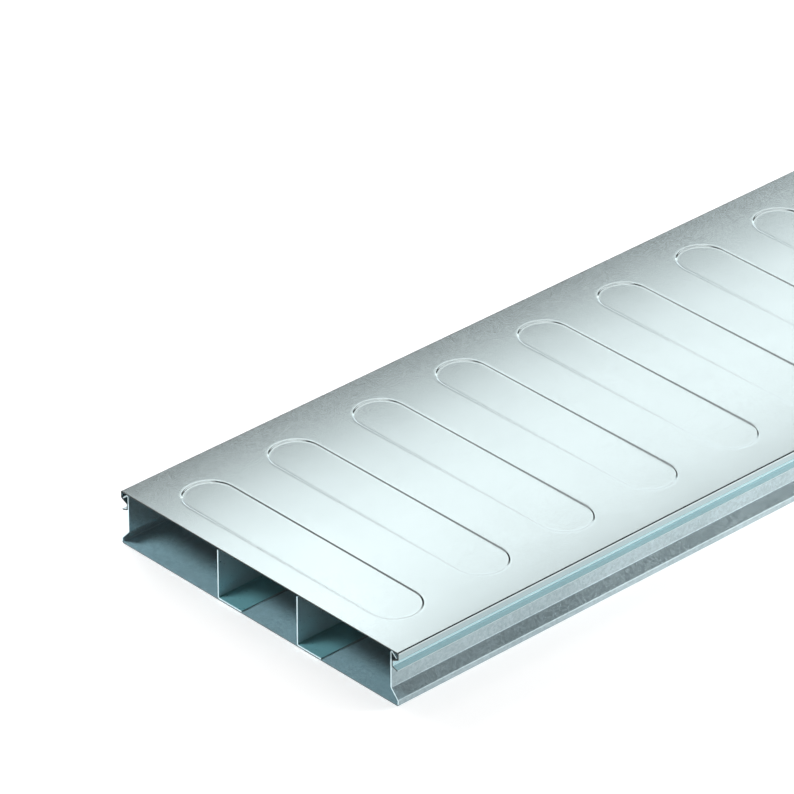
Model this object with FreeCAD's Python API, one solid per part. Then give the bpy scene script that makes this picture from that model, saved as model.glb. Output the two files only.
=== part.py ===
import FreeCAD, Part
import math
import os

from FreeCAD import Vector

# Underfloor cable duct: a folded sheet-steel duct with three compartments, in one stock length.
# X runs across the duct, Y along it and Z up. The origin is the centre of the underside.

# Overall size of the closed duct, in millimetres
duct_length = 2000.0
duct_width = 350.0
duct_height = 53.0

# Sheet metal
sheet = 1.25
bend_radius = 0.5
fit_gap = 0.2

# Tray: foot lips, sloped lower edges, side walls and the hooks along their tops
clear_width = 330.0
foot_lip = 6.3
foot_rise = 8.75
hook_tip_gap = 0.8

# Cover edge: lip, return under the tray's hook, skirt down the wall and flared end
lip_height = 6.9
return_drop = 3.4
skirt_length = 6.6
flare_length = 6.5
flare_slope = 12.0

# Stiffening beads pressed down into the cover
bead_length = 280.0
bead_width = 50.0
bead_depth = 1.5
bead_wall = 3.2
bead_pitch = 100.0

# Partitions: L-profiles that stand on the tray's floor
partition_pitch = 100.0
partition_foot = 30.0

# Heights and places that follow from the sizes above
half_sheet = sheet / 2
mid_radius = bend_radius + half_sheet
cover_underside = duct_height - sheet
edge_x = duct_width / 2 - half_sheet
wall_x = clear_width / 2 + half_sheet
skirt_x = wall_x + sheet + fit_gap

# Cover edge: fold heights, and the slope of the return that closes in under the tray's hook
lip_foot_z = duct_height - lip_height
skirt_top_z = lip_foot_z - return_drop
skirt_foot_z = skirt_top_z - skirt_length
return_turn = math.atan2(return_drop, edge_x - skirt_x)

# Beads: half widths at the rim and at the flat, and how far the underside's folds lie outside the top's
bead_turn = math.atan2(bead_depth, bead_wall)
bead_rim = (bead_width + bead_wall) / 2
bead_flat = (bead_width - bead_wall) / 2
bead_back = sheet * math.tan(bead_turn / 2)
bead_hole_radius = bead_rim + bead_back
bead_straight = bead_length - bead_width
bead_count = int(duct_length // bead_pitch)


def unit(vector):
    """The same direction with a length of one."""
    return Vector(vector).normalize()


def left_of(start, end):
    """Unit normal on the left of a straight run of a cross-section."""
    run = unit(end - start)
    return Vector(-run.z, 0, run.x)


def sheet_side(path, offset):
    """Edges along one side of a folded sheet, at an offset from the middle line's corners."""
    normals = [left_of(start, end) for start, end in zip(path, path[1:])]
    edges = []
    last = path[0] + normals[0] * offset
    for index in range(1, len(path) - 1):
        corner = path[index]
        back = unit(path[index - 1] - corner)
        ahead = unit(path[index + 1] - corner)
        inward = unit(back + ahead)
        half_angle = back.getAngle(ahead) / 2
        centre = corner + inward * (mid_radius / math.sin(half_angle))
        reach = mid_radius / math.tan(half_angle)
        enter = corner + back * reach + normals[index - 1] * offset
        leave = corner + ahead * reach + normals[index] * offset
        crown = centre - inward * enter.distanceToPoint(centre)
        edges.append(Part.makeLine(last, enter))
        edges.append(Part.Arc(enter, crown, leave).toShape())
        last = leave
    edges.append(Part.makeLine(last, path[-1] + normals[-1] * offset))
    return edges


def face_of(edges):
    """A flat face inside one closed loop of edges."""
    return Part.Face(Part.Wire(Part.sortEdges(edges)[0]))


def folded_sheet(corners):
    """A sheet folded through these cross-section corners, as long as the duct."""
    path = [Vector(x, -duct_length / 2, z) for x, z in corners]
    left = sheet_side(path, half_sheet)
    right = sheet_side(path, -half_sheet)
    first_end = Part.makeLine(left[0].Vertexes[0].Point, right[0].Vertexes[0].Point)
    last_end = Part.makeLine(left[-1].Vertexes[-1].Point, right[-1].Vertexes[-1].Point)
    section = face_of(left + right + [first_end, last_end])
    return section.extrude(Vector(0, duct_length, 0))


def both_sides(half):
    """Corners of a symmetrical section from those of its right half."""
    return [(-x, z) for x, z in reversed(half)] + half


def hook_points():
    """Fold and tip of the tray's right hook: a flange from under the cover down to its return."""
    tip_x = edge_x - half_sheet - hook_tip_gap - half_sheet
    return_top_z = lip_foot_z - (edge_x - tip_x) * math.tan(return_turn) + half_sheet / math.cos(return_turn)
    tip_z = return_top_z + fit_gap + half_sheet
    bend_x = wall_x + mid_radius
    bend_z = cover_underside - fit_gap - half_sheet - mid_radius
    reach = math.hypot(tip_x - bend_x, tip_z - bend_z)
    turn = math.asin(mid_radius / reach) - math.atan2(tip_z - bend_z, tip_x - bend_x)
    fold_z = tip_z + (tip_x - wall_x) * math.tan(turn)
    return [(wall_x, fold_z), (tip_x, tip_z)]


def base_tray():
    """Floor, foot lips, sloped lower edges, side walls and outward hooks, in one sheet."""
    return folded_sheet(both_sides([
        (edge_x, half_sheet),
        (edge_x, foot_lip),
        (wall_x, foot_lip + foot_rise),
    ] + hook_points()))


def cover_edge():
    """Corners of the cover's right half, from the top's edge to the tip of the flared end."""
    flare_turn = math.radians(flare_slope)
    flare_tip_x = skirt_x + flare_length * math.cos(flare_turn)
    flare_tip_z = skirt_foot_z - flare_length * math.sin(flare_turn)
    return [
        (edge_x, cover_underside + half_sheet),
        (edge_x, lip_foot_z),
        (skirt_x, skirt_top_z),
        (skirt_x, skirt_foot_z),
        (flare_tip_x, flare_tip_z),
    ]


def bead_section():
    """Half of a bead's sheet section, from its middle line out to its rim."""
    flat_z = duct_height - bead_depth
    corners = [
        Vector(0, 0, flat_z),
        Vector(bead_flat, 0, flat_z),
        Vector(bead_rim, 0, duct_height),
        Vector(bead_hole_radius, 0, duct_height),
        Vector(bead_hole_radius, 0, cover_underside),
        Vector(bead_flat + bead_back, 0, flat_z - sheet),
        Vector(0, 0, flat_z - sheet),
    ]
    return Part.Face(Part.makePolygon(corners + corners[:1]))


def bead():
    """One pressed bead, an obround dish of sheet across the duct at Y = 0."""
    origin = Vector(0, 0, 0)
    up = Vector(0, 0, 1)
    section = bead_section()
    section.rotate(origin, up, -90)
    section.translate(Vector(bead_straight / 2, 0, 0))
    quarters = []
    for turn in (0, 180):
        end = section.revolve(Vector(bead_straight / 2, 0, 0), up, 180)
        side = section.extrude(Vector(-bead_straight, 0, 0))
        for piece in (end, side):
            piece.rotate(origin, up, turn)
            quarters.append(piece)
    return quarters[0].fuse(quarters[1:]).removeSplitter()


def bead_hole():
    """The opening that a bead fills in the flat cover sheet, through the sheet's thickness."""
    bar = Part.makeBox(bead_straight, 2 * bead_hole_radius, sheet)
    bar.translate(Vector(-bead_straight / 2, -bead_hole_radius, cover_underside))
    ends = []
    for x in (-bead_straight / 2, bead_straight / 2):
        ends.append(Part.makeCylinder(bead_hole_radius, sheet, Vector(x, 0, cover_underside)))
    return bar.fuse(ends).removeSplitter()


def along_duct(shape):
    """Copies of a shape at every bead's place, evenly spaced about the middle of the duct."""
    copies = []
    for index in range(bead_count):
        copy = shape.copy()
        copy.translate(Vector(0, (index - (bead_count - 1) / 2) * bead_pitch, 0))
        copies.append(copy)
    return copies


def cover_plate():
    """The cover: a folded sheet with a row of pressed beads across it."""
    plain = folded_sheet(both_sides(cover_edge()))
    pierced = plain.cut(along_duct(bead_hole()))
    return pierced.fuse(along_duct(bead())).removeSplitter()


def partition(web_x):
    """An L-profile: its foot lies on the tray's floor and its web ends just under the beads."""
    foot_z = sheet + half_sheet
    web_top_z = cover_underside - bead_depth - fit_gap
    return folded_sheet([
        (web_x - half_sheet + partition_foot, foot_z),
        (web_x, foot_z),
        (web_x, web_top_z),
    ])


pieces = {
    "base_tray": base_tray(),
    "cover_plate": cover_plate(),
    "partition_left": partition(-partition_pitch / 2),
    "partition_right": partition(partition_pitch / 2),
}

os.makedirs("parts", exist_ok=True)
for name, shape in pieces.items():
    solid = shape.Solids[0]
    print(name, "valid" if solid.isValid() else "not valid", round(solid.Volume), "mm3")
    solid.exportStep("parts/" + name + ".step")
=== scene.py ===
import math

import bmesh
import bpy
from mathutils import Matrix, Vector


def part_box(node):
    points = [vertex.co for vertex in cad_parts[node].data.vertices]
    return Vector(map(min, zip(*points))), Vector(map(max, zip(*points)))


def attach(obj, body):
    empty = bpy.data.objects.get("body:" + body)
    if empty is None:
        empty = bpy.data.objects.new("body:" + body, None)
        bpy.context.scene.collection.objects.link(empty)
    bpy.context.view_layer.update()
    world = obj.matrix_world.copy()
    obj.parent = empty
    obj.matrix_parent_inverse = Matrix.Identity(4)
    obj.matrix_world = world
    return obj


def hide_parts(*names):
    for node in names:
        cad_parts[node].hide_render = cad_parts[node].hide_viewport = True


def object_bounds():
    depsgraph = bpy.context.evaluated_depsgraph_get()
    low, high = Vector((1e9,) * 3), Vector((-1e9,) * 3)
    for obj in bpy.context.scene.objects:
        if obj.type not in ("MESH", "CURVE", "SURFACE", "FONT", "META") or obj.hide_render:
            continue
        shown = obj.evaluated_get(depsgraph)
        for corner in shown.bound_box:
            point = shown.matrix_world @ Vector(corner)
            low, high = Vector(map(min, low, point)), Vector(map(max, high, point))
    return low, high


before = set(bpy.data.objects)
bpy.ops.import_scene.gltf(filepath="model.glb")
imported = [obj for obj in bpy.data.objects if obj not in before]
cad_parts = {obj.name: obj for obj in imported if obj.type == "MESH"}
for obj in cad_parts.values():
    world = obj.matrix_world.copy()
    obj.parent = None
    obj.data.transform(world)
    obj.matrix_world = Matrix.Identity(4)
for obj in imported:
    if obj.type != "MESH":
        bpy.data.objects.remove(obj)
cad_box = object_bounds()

# Underfloor cable duct of zinc-coated sheet steel: a tray, a beaded cover and two partitions.
# Lengths are in metres, in the solid model's frame: X across the duct, Y along it and Z up.
MM = 0.001

# Overall size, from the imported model
low, high = cad_box
LENGTH = high.y - low.y
HEIGHT = high.z
END_Y = LENGTH / 2

# Sheet metal; bend radii are those of the sheet's middle line
SHEET = 1.25 * MM
HALF = SHEET / 2
BEND_RADIUS = 0.5 * MM + HALF
FOOT_RADIUS = 2.3 * MM
TOP_RADIUS = 0.95 * MM
FIT_GAP = 0.2 * MM
BROKEN_EDGE = 0.12 * MM
BEND_STEP = math.radians(10)
CUT_ANGLE = math.radians(60)
SHARP_ANGLE = math.radians(40)
WELD_DISTANCE = 0.01 * MM

# Tray: half its clear width, foot lip, sloped lower edge and hook
CLEAR_HALF = 165 * MM
FOOT_LIP = 5.7 * MM
FOOT_RISE = 9.6 * MM
HOOK_TIP_GAP = 0.8 * MM

# Cover edge: lip, return under the tray's hook, skirt down the wall and flared end
LIP_HEIGHT = 6.9 * MM
RETURN_DROP = 3.4 * MM
SKIRT_LENGTH = 5.9 * MM
FLARE_REACH = 6.36 * MM
FLARE_DROP = 2.05 * MM

# Places of the folds on the middle lines of tray and cover
EDGE_X = high.x - HALF
WALL_X = CLEAR_HALF + HALF
SKIRT_X = WALL_X + SHEET + FIT_GAP
FLARE_X = SKIRT_X + FLARE_REACH
COVER_Z = HEIGHT - HALF
LIP_FOOT_Z = HEIGHT - LIP_HEIGHT
SKIRT_TOP_Z = LIP_FOOT_Z - RETURN_DROP
SKIRT_FOOT_Z = SKIRT_TOP_Z - SKIRT_LENGTH
FLARE_Z = SKIRT_FOOT_Z - FLARE_DROP

# Beads pressed into the cover: their places and rim
BEAD_PITCH = 100 * MM
BEAD_COUNT = round(LENGTH / BEAD_PITCH)
BEAD_CENTRE_X = 115 * MM
BEAD_RIM = 28.4 * MM

# A bead's depth: on its upper face a crisp step within a soft blend, on its middle surface one slope
BEAD_DEPTH = 0.68 * MM
BEAD_BLEND = 6.8 * MM
BEAD_STEP_START = 2.4 * MM
BEAD_STEP = 2.1 * MM
BEAD_STEP_SHARE = 0.84
BEAD_SLOPE_START = 1.6 * MM
BEAD_SLOPE = 3.6 * MM

# Faces of a bead: distances of its rings inside the rim, in millimetres, and steps of a quarter turn
BEAD_RINGS = (
    0.0, 0.8, 1.6, 2.1,
    2.4, 2.6, 2.8, 3.0, 3.2, 3.4, 3.6, 3.8, 4.0, 4.2, 4.4, 4.6,
    5.2, 6.0, 6.8,
)
END_STEPS = 12
CORNER_STEP = END_STEPS // 2

# A height between the upper and lower faces of the cover, in and beside the beads
BETWEEN_FACES_Z = HEIGHT - SHEET + 0.12 * MM

# Place of the folded edges' material, with its painted light and shade, in the cover's list of materials
FOLD_SLOT = 2

# Zinc coat: shares of crystals, clouds and grain in its colour, and the scales of its marks
CRYSTAL_SHARE = 0.45
CLOUD_SHARE = 0.35
GRAIN_SHARE = 0.2
WARP_SCALE = 0.6
CLOUD_SCALE = 14
GRAIN_SCALE = 1800
STREAK_STRETCH = (700, 9, 700)

# Zinc coat: crystals and streaks change its roughness, crystals and grain tilt its surface
CRYSTAL_ROUGHNESS = 0.05
SMOOTH_STREAK = -0.03
ROUGH_STREAK = -0.02
CRYSTAL_RELIEF = 0.05 * MM
GRAIN_RELIEF = 0.01 * MM
GRAIN_STRENGTH = 0.1

# Scuffs: fine slanting marks where a noise passes a level
SCUFF_TURN = 0.45
SCUFF_STRETCH = (1500, 25, 400)
SCUFF_START = 0.69
SCUFF_FULL = 0.74
SCUFF_TONE = (0.93, 0.93, 0.93, 1)

# Sheared edges
CUT_MARK_SCALE = 900
CUT_SMOOTH = 0.38
CUT_ROUGH = 0.55
CUT_METALLIC = 0.6
PALE_CUT = (0.78, 0.88, 0.9, 1)
DARK_CUT = (0.62, 0.7, 0.72, 1)
# Painted teal sheen: the cover's cut edges are given a bluer tone than bare steel
FLARE_CUT_SHEEN = (0.62, 0.8, 0.83, 1)

# The range that most values of a noise lie in
NOISE_LOW = 0.3
NOISE_HIGH = 0.7
WHITE = (1, 1, 1, 1)

# Where the painted shade towards the ends sets in, and the cut faces at the ends against the edges behind
# them
END_SHADE_Y = 0.55 * END_Y
END_FACE_Y = END_Y - 0.15 * MM
BEHIND_END_Y = END_Y - 0.3 * MM

# Bands of painted light and shade: axis, distances from the origin where one sets in and is full, and its
# tone.
# On the cover's folds: painted shade on the lip's outer face, a painted bluer sheen on what lies under the
# top, painted shade towards the ends, and a painted dark reflection in a line along the top
LIP_SHADE_BAND = ("X", EDGE_X, EDGE_X + 0.4 * MM, (0.82, 0.825, 0.825))
# Painted light: the folds under the top get a bluer, in green and blue lighter, tone than the top
FOLD_SHEEN_BAND = ("Z", HEIGHT - 1.9 * MM, HEIGHT - 2.6 * MM, (0.93, 1.02, 1.04))
FOLD_END_SHADE_BAND = ("Y", END_SHADE_Y, END_Y, (0.93, 0.94, 0.945))
# Painted dark reflection: a dark line on the rounded corner along the top
TOP_DARK_REFLECTION_BAND = ("Z", HEIGHT - 0.6 * MM, HEIGHT - 0.4 * MM, (0.25, 0.25, 0.25))

# Painted shade on the tray towards its ends, and on the partitions' feet
TRAY_END_SHADE_BAND = ("Y", END_SHADE_Y, END_Y, (0.76, 0.78, 0.79))
FOOT_SHADE_BAND = ("Z", 4.2 * MM, 3.2 * MM, (0.54, 0.71, 0.69))

# Painted shade on cut edges: a painted shadow on the cover's end faces, painted shade on the partitions'
# edges behind the end, and on the tray's floor and hooks
COVER_END_SHADOW_BAND = ("Y", BEHIND_END_Y, END_FACE_Y, (0.08, 0.08, 0.08))
WEB_CUT_SHADE_BAND = ("Y", END_FACE_Y, BEHIND_END_Y, (0.18, 0.2, 0.2))
FLOOR_CUT_SHADE_BAND = ("Z", 2.2 * MM, 1.3 * MM, (0.2, 0.2, 0.2))
HOOK_CUT_SHADE_BAND = ("Z", 42 * MM, 44 * MM, (0.6, 0.6, 0.6))

# Studio floor: just under the duct; its glow is the part of its white that doesn't come from the lamps
FLOOR_SIZE = 120
FLOOR_Z = -0.3 * MM
FLOOR_PAINT = (0.85, 0.85, 0.85, 1)
FLOOR_GLOW = 0.575

# Surroundings, as brightness by height: white at the horizon, less so on the left; dark overhead behind
# the duct and pale in front of it
LEFT_LEVELS = ((0.0, 1.0), (0.12, 1.0), (0.3, 0.06), (0.55, 0.035), (0.7, 0.06))
BACK_LEVELS = ((0.0, 1.6), (0.12, 1.6), (0.3, 0.06), (0.55, 0.035), (0.7, 0.06))
FRONT_LEVELS = ((0.0, 1.6), (0.12, 1.6), (0.3, 0.7), (0.55, 0.5), (0.7, 0.4))

# Where the surroundings pass from right to left, along X, and from back to front, along Y
LEFT_START = 0.2
LEFT_FULL = -0.2
FRONT_START = -0.1
FRONT_FULL = -0.45

# Camera, at the photograph's viewing angle
CAMERA_TARGET = Vector((-191.0, -660.6, 0.4)) * MM
CAMERA_AZIMUTH = math.radians(47.0)
CAMERA_ELEVATION = math.radians(31.0)
CAMERA_DISTANCE = 5.9876
CAMERA_LENS = 303.62
CAMERA_SENSOR = 36.0
CAMERA_REACH = 200


def rounded(bends):
    """Points along a folded sheet's middle line; each inner corner (x, z, radius) becomes an arc."""
    corners = [Vector((x, z)) for x, z, _ in bends]
    radii = [radius for _, _, radius in bends]
    points = [corners[0]]
    for before, corner, after, radius in zip(corners, corners[1:], corners[2:], radii[1:]):
        back = (before - corner).normalized()
        ahead = (after - corner).normalized()
        inward = (back + ahead).normalized()
        half_angle = back.angle(ahead) / 2
        centre = corner + inward * radius / math.sin(half_angle)
        reach = radius / math.tan(half_angle)
        start = (corner + back * reach - centre).normalized()
        end = (corner + ahead * reach - centre).normalized()
        steps = math.ceil((math.pi - 2 * half_angle) / BEND_STEP)
        points += [centre + radius * start.slerp(end, step / steps) for step in range(steps + 1)]
    return points + [corners[-1]]


def mirrored(points):
    """The same points on the duct's left side."""
    return [Vector((-x, z)) for x, z in points]


def add_strip(mesh, points, stations):
    """Faces of a strip that follows cross-section points from one station along Y to the next."""
    rows = [[mesh.verts.new((x, y, z)) for x, z in points] for y in stations]
    for row, next_row in zip(rows, rows[1:]):
        for index in range(len(points) - 1):
            mesh.faces.new((row[index], row[index + 1], next_row[index + 1], next_row[index]))


def hook_points():
    """Fold and tip of the tray's right hook: a flange from under the cover down to its return."""
    return_turn = math.atan2(LIP_FOOT_Z - SKIRT_TOP_Z, EDGE_X - SKIRT_X)
    tip_x = EDGE_X - SHEET - HOOK_TIP_GAP
    return_top_z = LIP_FOOT_Z - (EDGE_X - tip_x) * math.tan(return_turn) + HALF / math.cos(return_turn)
    tip_z = return_top_z + FIT_GAP + HALF
    bend_x = WALL_X + BEND_RADIUS
    bend_z = COVER_Z - SHEET - FIT_GAP - BEND_RADIUS
    reach = math.hypot(tip_x - bend_x, tip_z - bend_z)
    turn = math.asin(BEND_RADIUS / reach) - math.atan2(tip_z - bend_z, tip_x - bend_x)
    fold_z = tip_z + (tip_x - WALL_X) * math.tan(turn)
    return [(WALL_X, fold_z, BEND_RADIUS), (tip_x, tip_z, 0)]


def tray_surface():
    """Middle surface of the tray: floor, foot lips, sloped edges, walls and hooks."""
    right = [
        (EDGE_X, HALF, BEND_RADIUS),
        (EDGE_X, FOOT_LIP, FOOT_RADIUS),
        (WALL_X, FOOT_LIP + FOOT_RISE, FOOT_RADIUS),
    ] + hook_points()
    left = [(-x, z, radius) for x, z, radius in reversed(right)]
    mesh = bmesh.new()
    add_strip(mesh, rounded(left + right), (low.y, high.y))
    return mesh


def partition_surface(node):
    """Middle surface of an L-shaped partition: a foot on the tray's floor and an upright web."""
    node_low, node_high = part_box(node)
    foot_z = node_low.z + HALF
    web_x = node_low.x + HALF
    section = [(node_high.x, foot_z, 0), (web_x, foot_z, BEND_RADIUS), (web_x, node_high.z, 0)]
    mesh = bmesh.new()
    add_strip(mesh, rounded(section), (low.y, high.y))
    return mesh


def eased(value):
    """A smooth rise from nought to one, level at both ends."""
    value = max(0, min(1, value))
    return (1 - math.cos(math.pi * value)) / 2


def bead_ring(inset, drop, middle):
    """Corners of an obround ring inside a bead's rim, at a depth under the cover's middle surface."""
    radius = BEAD_RIM - inset
    ring = []
    for side in (1, -1):
        for step in range(-END_STEPS, END_STEPS + 1):
            turn = math.pi / 2 * step / END_STEPS
            x = side * (BEAD_CENTRE_X + radius * math.cos(turn))
            y = middle + side * radius * math.sin(turn)
            ring.append((x, y, COVER_Z - drop))
    return ring


def cell_ring(field_x, middle):
    """Corners round a bead's share of the flat cover, one for each corner of the bead's rim."""
    half_pitch = BEAD_PITCH / 2
    ring = []
    for side in (1, -1):
        for step in range(-END_STEPS, END_STEPS + 1):
            past_corner = max(abs(step) - CORNER_STEP, 0) / (END_STEPS - CORNER_STEP)
            x = side * (field_x + (BEAD_CENTRE_X - field_x) * past_corner)
            y = middle + side * half_pitch * max(-1, min(1, step / CORNER_STEP))
            ring.append((x, y, COVER_Z))
    return ring


def cell_stations(middle):
    """Places along Y where the folded edges meet the corners of a bead's cell."""
    half_pitch = BEAD_PITCH / 2
    return [middle + half_pitch * step / CORNER_STEP for step in range(-CORNER_STEP, CORNER_STEP + 1)]


def add_bead_cell(mesh, field_x, middle):
    """One bead and the flat sheet round it: a smooth slope down from the rim to a level floor."""
    rings = [cell_ring(field_x, middle)]
    for distance in BEAD_RINGS:
        inset = distance * MM
        drop = BEAD_DEPTH * eased((inset - BEAD_SLOPE_START) / BEAD_SLOPE)
        rings.append(bead_ring(inset, drop, middle))
    rings = [[mesh.verts.new(corner) for corner in ring] for ring in rings]
    for outer, inner in zip(rings, rings[1:]):
        for index in range(len(outer)):
            mesh.faces.new((outer[index - 1], outer[index], inner[index], inner[index - 1]))
    mesh.faces.new(rings[-1])


def mark_folds(mesh, field_x):
    """Give the faces of the cover's folded edges a material of their own, with painted light and shade."""
    for face in mesh.faces:
        centre = face.calc_center_median()
        if abs(centre.x) > field_x or centre.z < COVER_Z - SHEET:
            face.material_index = FOLD_SLOT


def cover_surface():
    """Middle surface of the cover: a row of bead cells between two folded edges."""
    edge = rounded([
        (0, COVER_Z, 0),
        (EDGE_X, COVER_Z, TOP_RADIUS),
        (EDGE_X, LIP_FOOT_Z, BEND_RADIUS),
        (SKIRT_X, SKIRT_TOP_Z, BEND_RADIUS),
        (SKIRT_X, SKIRT_FOOT_Z, BEND_RADIUS),
        (FLARE_X, FLARE_Z, 0),
    ])[1:]
    field_x = edge[0].x
    mesh = bmesh.new()
    for index in range(BEAD_COUNT):
        middle = low.y + (index + 0.5) * BEAD_PITCH
        add_bead_cell(mesh, field_x, middle)
        for points in (edge, mirrored(edge)):
            add_strip(mesh, points, cell_stations(middle))
    bmesh.ops.remove_doubles(mesh, verts=mesh.verts, dist=WELD_DISTANCE)
    mark_folds(mesh, field_x)
    return mesh


def bead_drop(inset):
    """Depth of a bead's upper face at a distance inside its rim: a crisp step between soft blends."""
    step = eased((inset - BEAD_STEP_START) / BEAD_STEP)
    blend = eased(inset / BEAD_BLEND)
    return BEAD_DEPTH * (BEAD_STEP_SHARE * step + (1 - BEAD_STEP_SHARE) * blend)


def crisp_beads(mesh):
    """Press the cover's upper face to its crisp bead walls; the underside keeps its wider bends."""
    for vertex in mesh.vertices:
        x, y, z = vertex.co
        if abs(x) < BEAD_CENTRE_X + BEAD_RIM and z > BETWEEN_FACES_Z:
            along = (y - low.y) % BEAD_PITCH - BEAD_PITCH / 2
            past_centre = max(abs(x) - BEAD_CENTRE_X, 0)
            vertex.co.z = HEIGHT - bead_drop(BEAD_RIM - math.hypot(past_centre, along))


def thicken(piece):
    """Turn a middle surface into a sheet of even thickness, with broken cut edges."""
    thickness = piece.modifiers.new("thickness", "SOLIDIFY")
    thickness.thickness = SHEET
    thickness.offset = 0
    thickness.use_even_offset = True
    thickness.material_offset_rim = 1
    edges = piece.modifiers.new("broken_edges", "BEVEL")
    edges.width = BROKEN_EDGE
    edges.segments = 2
    edges.limit_method = "ANGLE"
    edges.angle_limit = CUT_ANGLE
    surface = piece.data
    graph = bpy.context.evaluated_depsgraph_get()
    piece.data = bpy.data.meshes.new_from_object(piece.evaluated_get(graph))
    piece.data.name = piece.name
    piece.modifiers.clear()
    bpy.data.meshes.remove(surface)


def smooth_bends(piece):
    """Shade the bends smooth, and keep cut edges sharp and flat faces flat."""
    piece.data.shade_smooth()
    piece.data.set_sharp_from_angle(angle=SHARP_ANGLE)
    normals = piece.modifiers.new("weighted_normals", "WEIGHTED_NORMAL")
    normals.keep_sharp = True


def sheet_piece(name, surface, node, materials, press=None):
    """A sheet-metal piece that stands for a node, made from its middle surface."""
    bmesh.ops.recalc_face_normals(surface, faces=surface.faces)
    mesh = bpy.data.meshes.new(name)
    surface.to_mesh(mesh)
    surface.free()
    for material in materials:
        mesh.materials.append(material)
    piece = bpy.data.objects.new(name, mesh)
    bpy.context.scene.collection.objects.link(piece)
    thicken(piece)
    if press:
        press(piece.data)
    smooth_bends(piece)
    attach(piece, "root")
    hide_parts(node)
    return piece


def fill(tree, node, inputs):
    """Set or link a node's inputs, by name or number."""
    for name, value in inputs.items():
        if isinstance(value, bpy.types.NodeSocket):
            tree.links.new(value, node.inputs[name])
        else:
            node.inputs[name].default_value = value


def wire(tree, kind, inputs, **settings):
    """Add a node, set its options, and set or link its inputs."""
    node = tree.nodes.new(kind)
    for name, value in settings.items():
        setattr(node, name, value)
    fill(tree, node, inputs)
    return node


def ramp(tree, value, low_in, high_in, low_out, high_out):
    """A value mapped in a straight line from one range to another, and held at its ends."""
    mapped = wire(tree, "ShaderNodeMapRange", {
        "Value": value,
        "From Min": low_in,
        "From Max": high_in,
        "To Min": low_out,
        "To Max": high_out,
    })
    return mapped.outputs["Result"]


def calculate(tree, operation, *values):
    """The result of a calculation with single values."""
    numbered = dict(enumerate(values))
    return wire(tree, "ShaderNodeMath", numbered, operation=operation).outputs[0]


def calculate_vector(tree, operation, *values):
    """The result of a calculation with colours or places."""
    numbered = dict(enumerate(values))
    return wire(tree, "ShaderNodeVectorMath", numbered, operation=operation).outputs[0]


def blend_colours(tree, share, first, second):
    """A colour between two others; the node's sockets share names, so they go by number."""
    mix = wire(tree, "ShaderNodeMix", {0: share, 6: first, 7: second}, data_type="RGBA")
    return mix.outputs[2]


def noise(tree, place, scale, detail=3):
    """A noise texture."""
    return wire(tree, "ShaderNodeTexNoise", {"Vector": place, "Scale": scale, "Detail": detail})


def long_noise(tree, place, stretch, turn=0, detail=3):
    """A noise of long marks, turned about the upright axis."""
    stretched = wire(tree, "ShaderNodeMapping", {
        "Vector": place,
        "Rotation": (0, 0, turn),
        "Scale": stretch,
    })
    return noise(tree, stretched.outputs[0], scale=1, detail=detail)


def spread(tree, texture, low_out, high_out):
    """The usual range of a noise mapped to another range."""
    return ramp(tree, texture.outputs["Fac"], NOISE_LOW, NOISE_HIGH, low_out, high_out)


def spangles(tree, place, size):
    """Zinc crystals: irregular cells of about this size, each with a level of its own."""
    warp = noise(tree, place, WARP_SCALE / size)
    warped = calculate_vector(tree, "MULTIPLY_ADD", warp.outputs["Color"], (size, size, size), place)
    cells = wire(tree, "ShaderNodeTexVoronoi", {"Vector": warped, "Scale": 1 / size})
    channels = wire(tree, "ShaderNodeSeparateColor", {"Color": cells.outputs["Color"]})
    return channels.outputs["Red"]


def with_painted_shading(tree, place, colour, painted_bands):
    """A colour multiplied by the tone of each band of painted light and shade."""
    axes = wire(tree, "ShaderNodeSeparateXYZ", {0: place})
    for axis, start, full, tone in painted_bands:
        outwards = calculate(tree, "ABSOLUTE", axes.outputs[axis])
        share = ramp(tree, outwards, start, full, 0.0, 1.0)
        colour = calculate_vector(tree, "MULTIPLY", colour, blend_colours(tree, share, WHITE, (*tone, 1)))
    return colour


def new_material(name):
    """A material, its node tree, and the place of each point in the duct's frame."""
    material = bpy.data.materials.new(name)
    material.use_nodes = True
    tree = material.node_tree
    place = wire(tree, "ShaderNodeTexCoord", {}).outputs["Object"]
    return material, tree, place


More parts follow.
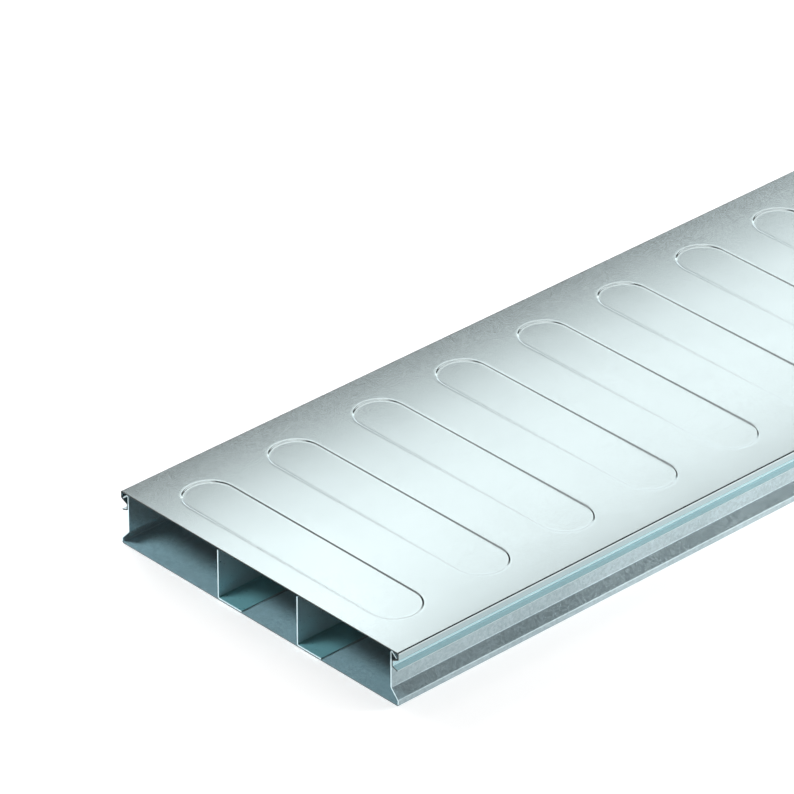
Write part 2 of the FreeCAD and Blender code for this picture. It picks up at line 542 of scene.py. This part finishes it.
def zinc_steel(name, pale, dark, metallic, roughness, spangle_size, spangle_tilt, painted_bands=()):
    """Zinc-coated sheet: crystal spangles, fine grain, streaks and scuffs, with bands of painted light and
    shade.
    """
    material, tree, place = new_material(name)
    crystal = spangles(tree, place, spangle_size)
    clouds = noise(tree, place, CLOUD_SCALE)
    grain = noise(tree, place, GRAIN_SCALE, detail=4)
    streaks = long_noise(tree, place, STREAK_STRETCH)
    scuffs = long_noise(tree, place, SCUFF_STRETCH, SCUFF_TURN, detail=2)

    cloudy = spread(tree, clouds, 0.0, CLOUD_SHARE)
    tone = calculate(tree, "MULTIPLY_ADD", crystal, CRYSTAL_SHARE, cloudy)
    tone = calculate(tree, "MULTIPLY_ADD", spread(tree, grain, 0.0, 1.0), GRAIN_SHARE, tone)
    scuffed = ramp(tree, scuffs.outputs["Fac"], SCUFF_START, SCUFF_FULL, 0.0, 1.0)
    scuff_tone = blend_colours(tree, scuffed, WHITE, SCUFF_TONE)
    colour = calculate_vector(tree, "MULTIPLY", blend_colours(tree, tone, dark, pale), scuff_tone)

    streaky = spread(tree, streaks, roughness + SMOOTH_STREAK, roughness + ROUGH_STREAK)
    facets = wire(tree, "ShaderNodeBump", {
        "Strength": spangle_tilt,
        "Distance": CRYSTAL_RELIEF,
        "Height": crystal,
    })
    relief = wire(tree, "ShaderNodeBump", {
        "Strength": GRAIN_STRENGTH,
        "Distance": GRAIN_RELIEF,
        "Height": grain.outputs["Fac"],
        "Normal": facets.outputs[0],
    })
    fill(tree, tree.nodes["Principled BSDF"], {
        "Base Color": with_painted_shading(tree, place, colour, painted_bands),
        "Metallic": metallic,
        "Roughness": calculate(tree, "MULTIPLY_ADD", crystal, CRYSTAL_ROUGHNESS, streaky),
        "Normal": relief.outputs[0],
    })
    return material


def cut_steel(name, pale, dark, painted_bands):
    """Sheared edge of the sheet: bare steel with fine marks, with bands of painted shade."""
    material, tree, place = new_material(name)
    marks = noise(tree, place, CUT_MARK_SCALE)
    colour = blend_colours(tree, spread(tree, marks, 0.0, 1.0), dark, pale)
    fill(tree, tree.nodes["Principled BSDF"], {
        "Base Color": with_painted_shading(tree, place, colour, painted_bands),
        "Metallic": CUT_METALLIC,
        "Roughness": spread(tree, marks, CUT_SMOOTH, CUT_ROUGH),
    })
    return material


def cover_zinc(name, painted_bands=()):
    """The cover's bright coat with fine spangles, and any bands of painted light and shade."""
    return zinc_steel(
        name,
        pale=(0.635, 0.715, 0.725, 1),
        dark=(0.575, 0.65, 0.66, 1),
        metallic=1.0,
        roughness=0.155,
        spangle_size=1.2 * MM,
        spangle_tilt=0.03,
        painted_bands=painted_bands,
    )


def tray_zinc():
    """The tray's mottled coat with coarse spangles, and painted shade towards its ends."""
    return zinc_steel(
        "tray_zinc",
        pale=(0.63, 0.75, 0.785, 1),
        dark=(0.4, 0.495, 0.52, 1),
        metallic=0.75,
        roughness=0.19,
        spangle_size=2.2 * MM,
        spangle_tilt=0.09,
        painted_bands=(TRAY_END_SHADE_BAND,),
    )


def partition_zinc():
    """The partitions' dull coat, with painted shade on their feet."""
    return zinc_steel(
        "partition_zinc",
        pale=(0.42, 0.58, 0.62, 1),
        dark=(0.36, 0.505, 0.545, 1),
        metallic=0.75,
        roughness=0.3,
        spangle_size=1.1 * MM,
        spangle_tilt=0.06,
        painted_bands=(FOOT_SHADE_BAND,),
    )


def add_cover():
    """The cover, with pressed beads, and painted light and shade on its folded edges and cut edges."""
    top = cover_zinc("cover_zinc")
    # The folded edges: the top's coat with painted light and shade
    painted_fold = cover_zinc("cover_fold_zinc_painted_light_and_shade", (LIP_SHADE_BAND, FOLD_SHEEN_BAND, FOLD_END_SHADE_BAND, TOP_DARK_REFLECTION_BAND))
    # Cut edges with a painted teal sheen, and a painted shadow on the end faces
    cut = cut_steel("cover_steel_edge", FLARE_CUT_SHEEN, DARK_CUT, (COVER_END_SHADOW_BAND,))
    materials = (top, cut, painted_fold, cut)
    sheet_piece("cover_sheet", cover_surface(), "cover_plate", materials, crisp_beads)


def add_tray():
    """The tray, with painted shade on its cut edges at its floor and hooks."""
    cut = cut_steel("tray_steel_edge", PALE_CUT, DARK_CUT, (FLOOR_CUT_SHADE_BAND, HOOK_CUT_SHADE_BAND))
    return sheet_piece("tray_sheet", tray_surface(), "base_tray", (tray_zinc(), cut))


def add_partitions():
    """The two partitions, alike but for their places."""
    # Painted shade on the partitions' cut edges behind the ends
    cut = cut_steel("partition_steel_edge", PALE_CUT, DARK_CUT, (WEB_CUT_SHADE_BAND,))
    materials = (partition_zinc(), cut)
    webs = []
    for side in ("left", "right"):
        node = "partition_" + side
        web = sheet_piece(node + "_sheet", partition_surface(node), node, materials)
        webs.append(web)
    return webs


def floor_white():
    """White paint that adds a glow for the camera and for reflections, and keeps the shadow."""
    material = bpy.data.materials.new("floor_white")
    material.use_nodes = True
    tree = material.node_tree
    tree.nodes.remove(tree.nodes["Principled BSDF"])
    path = wire(tree, "ShaderNodeLightPath", {}).outputs
    seen = calculate(tree, "MAXIMUM", path["Is Camera Ray"], path["Is Glossy Ray"])
    seen = calculate(tree, "MAXIMUM", seen, path["Is Transmission Ray"])
    level = calculate(tree, "MULTIPLY", seen, FLOOR_GLOW)
    paint = wire(tree, "ShaderNodeBsdfDiffuse", {"Color": FLOOR_PAINT})
    glow = wire(tree, "ShaderNodeEmission", {"Color": WHITE, "Strength": level})
    both = wire(tree, "ShaderNodeAddShader", {0: paint.outputs[0], 1: glow.outputs[0]})
    fill(tree, tree.nodes["Material Output"], {"Surface": both.outputs[0]})
    return material


def add_floor():
    """A plain white studio floor."""
    bpy.ops.mesh.primitive_plane_add(size=FLOOR_SIZE, location=(0, 0, FLOOR_Z))
    floor = bpy.context.object
    floor.name = "studio_floor"
    floor.data.materials.append(floor_white())


def sky_levels(tree, height, levels):
    """Grey levels by height above the horizon."""
    steps = wire(tree, "ShaderNodeValToRGB", {0: height})
    stops = steps.color_ramp.elements
    while len(stops) < len(levels):
        stops.new(1.0)
    for stop, (place, level) in zip(stops, levels):
        stop.position = place
        stop.color = (level, level, level, 1)
    return steps.outputs["Color"]


def light_world():
    """Soft surrounding light, with levels of its own on the left, on the right and in front."""
    world = bpy.data.worlds.new("studio")
    bpy.context.scene.world = world
    world.use_nodes = True
    tree = world.node_tree
    direction = wire(tree, "ShaderNodeTexCoord", {}).outputs["Generated"]
    axes = wire(tree, "ShaderNodeSeparateXYZ", {0: direction})
    height = axes.outputs["Z"]
    on_left = ramp(tree, axes.outputs["X"], LEFT_START, LEFT_FULL, 0.0, 1.0)
    in_front = ramp(tree, axes.outputs["Y"], FRONT_START, FRONT_FULL, 0.0, 1.0)
    right = sky_levels(tree, height, BACK_LEVELS)
    left = sky_levels(tree, height, LEFT_LEVELS)
    front = sky_levels(tree, height, FRONT_LEVELS)
    back = blend_colours(tree, on_left, right, left)
    fill(tree, tree.nodes["Background"], {"Color": blend_colours(tree, in_front, back, front)})


def add_softbox(name, place, aim, size, watts, colour=(1, 1, 1), in_reflections=True):
    """A rectangular studio light with a level long side."""
    lamp = bpy.data.lights.new(name, "AREA")
    lamp.shape = "RECTANGLE"
    lamp.size, lamp.size_y = size
    lamp.energy = watts
    lamp.color = colour
    softbox = bpy.data.objects.new(name, lamp)
    softbox.location = place
    softbox.rotation_euler = (Vector(aim) - Vector(place)).to_track_quat("-Z", "Y").to_euler()
    softbox.visible_camera = False
    softbox.visible_glossy = in_reflections
    bpy.context.scene.collection.objects.link(softbox)
    return softbox


def light_top():
    """Lights whose reflections shade the cover's top and draw its beads."""
    add_softbox(
        "strip_light",
        place=(-1.341, 1.725, 1.25),
        aim=(0.119, 1.725, 0.053),
        size=(3.55, 0.3),
        watts=5.25,
        colour=(0.97, 1.0, 1.0),
    )
    add_softbox(
        "back_panel",
        place=(-2.9, 2.5, 1.15),
        aim=(0, -0.6, 0.05),
        size=(3.3, 1.4),
        watts=13,
        colour=(0.84, 0.93, 0.97),
    )
    add_softbox(
        "top_panel",
        place=(-2.1, 0.25, 2.5),
        aim=(0, 0.25, 0.05),
        size=(2.2, 0.9),
        watts=2.4,
    )
    add_softbox(
        "bead_panel",
        place=(-0.29, 0.11, 0.9),
        aim=(-0.15, 0.11, 0.05),
        size=(1.9, 0.24),
        watts=1.75,
    )


def light_side():
    """Lights for the duct's right side: its wall, its bends and the floor beside it."""
    add_softbox(
        "side_panel",
        place=(1.2, 0.7, 1.26),
        aim=(0.17, -0.4, 0),
        size=(2.4, 1.2),
        watts=2.1,
        colour=(0.9, 1.0, 1.03),
    )
    add_softbox(
        "bend_panel",
        place=(1.2, 0.78, 0.48),
        aim=(0.17, 0.78, 0.05),
        size=(2.05, 0.4),
        watts=3.85,
    )
    add_softbox(
        "right_wash",
        place=(0.9, 0.7, 0.6),
        aim=(0.35, 0.1, 0),
        size=(0.6, 0.6),
        watts=17,
        in_reflections=False,
    )


def light_inside(pieces):
    """A light into the open end that falls on these pieces only."""
    front_light = add_softbox(
        "front_light",
        place=(-0.42, -1.7, 1.3),
        aim=(0, -1, 0),
        size=(0.5, 0.5),
        watts=55,
        colour=(0.66, 0.92, 1.0),
    )
    lit = bpy.data.collections.new("lit_inside")
    for piece in pieces:
        lit.objects.link(piece)
    front_light.light_linking.receiver_collection = lit


def light_floor():
    """A wide light that whitens the floor."""
    add_softbox(
        "floor_wash",
        place=(-2.1, -0.4, 1.3),
        aim=(0.3, -0.6, 0),
        size=(2.5, 1.0),
        watts=45,
        in_reflections=False,
    )


def add_camera():
    """The photograph's view: a long lens from the front right, looking down at the duct's open end."""
    lens = bpy.data.cameras.new("photo_camera")
    lens.lens = CAMERA_LENS
    lens.sensor_width = CAMERA_SENSOR
    lens.clip_end = CAMERA_REACH
    camera = bpy.data.objects.new("photo_camera", lens)
    back = Vector((
        math.sin(CAMERA_AZIMUTH) * math.cos(CAMERA_ELEVATION),
        -math.cos(CAMERA_AZIMUTH) * math.cos(CAMERA_ELEVATION),
        math.sin(CAMERA_ELEVATION),
    ))
    camera.location = CAMERA_TARGET + back * CAMERA_DISTANCE
    camera.rotation_euler = back.to_track_quat("Z", "Y").to_euler()
    bpy.context.scene.collection.objects.link(camera)
    bpy.context.scene.camera = camera


add_cover()
tray = add_tray()
partitions = add_partitions()
add_floor()
light_world()
light_top()
light_side()
light_inside([tray] + partitions)
light_floor()
add_camera()
bpy.context.scene.view_settings.view_transform = "Standard"
